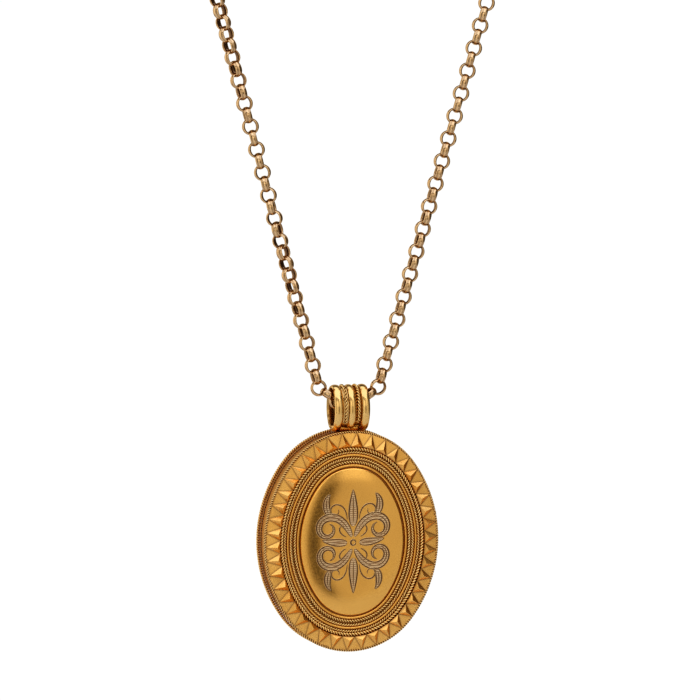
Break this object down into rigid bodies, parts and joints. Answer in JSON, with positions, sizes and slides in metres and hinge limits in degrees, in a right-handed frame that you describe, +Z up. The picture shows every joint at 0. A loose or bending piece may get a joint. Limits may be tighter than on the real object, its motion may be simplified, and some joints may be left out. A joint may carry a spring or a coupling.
{
  "type": "locket pendant",
  "caption": "Oval gold locket with a border of small pyramids and a domed front plaque, opening on a side hinge and hung by a hinged banded bail on a round-link neck chain.",
  "frame": {"origin": "middle of the clasp, where the chain rests on the nape of the neck", "axes": "+Z up, with the locket hanging below, 1.9 mm to the left of the nape; the locket's front and the wearer face -Y, and +X is the viewer's right in front of it"},
  "size_m": [0.1052, 0.0894, 0.1932],
  "materials": {
    "locket_gold": "polished yellow gold, warmer in the recesses",
    "plaque_gold": "satin yellow gold, engraved",
    "chain_gold": "polished reddish gold",
    "pin_gold": "drawn gold wire"
  },
  "bodies": {
    "chain": {"chain_left": "chain_gold", "chain_right": "chain_gold", "clasp": "chain_gold"},
    "bail": {"bail": "locket_gold", "bail_pin": "pin_gold"},
    "locket": {"back_case": "locket_gold", "hinge_pin": "pin_gold"},
    "cover": {"front_cover": "locket_gold", "centre_plaque": "plaque_gold"}
  },
  "joints": [
    {"name": "pendant_swing", "type": "hinge", "parent": "chain", "child": "bail", "pos_m": [-0.00189, -0.08104, -0.14442], "axis": [1, 0, 0], "range_deg": [-75, 75]},
    {"name": "bail_hinge", "type": "hinge", "parent": "bail", "child": "locket", "pos_m": [-0.00189, -0.08104, -0.14949], "axis": [1, 0, 0], "range_deg": [-12, 12]},
    {"name": "cover_hinge", "type": "hinge", "parent": "locket", "child": "cover", "pos_m": [0.01526, -0.07876, -0.17068], "axis": [0, 0, 1], "range_deg": [0, 140]}
  ]
}
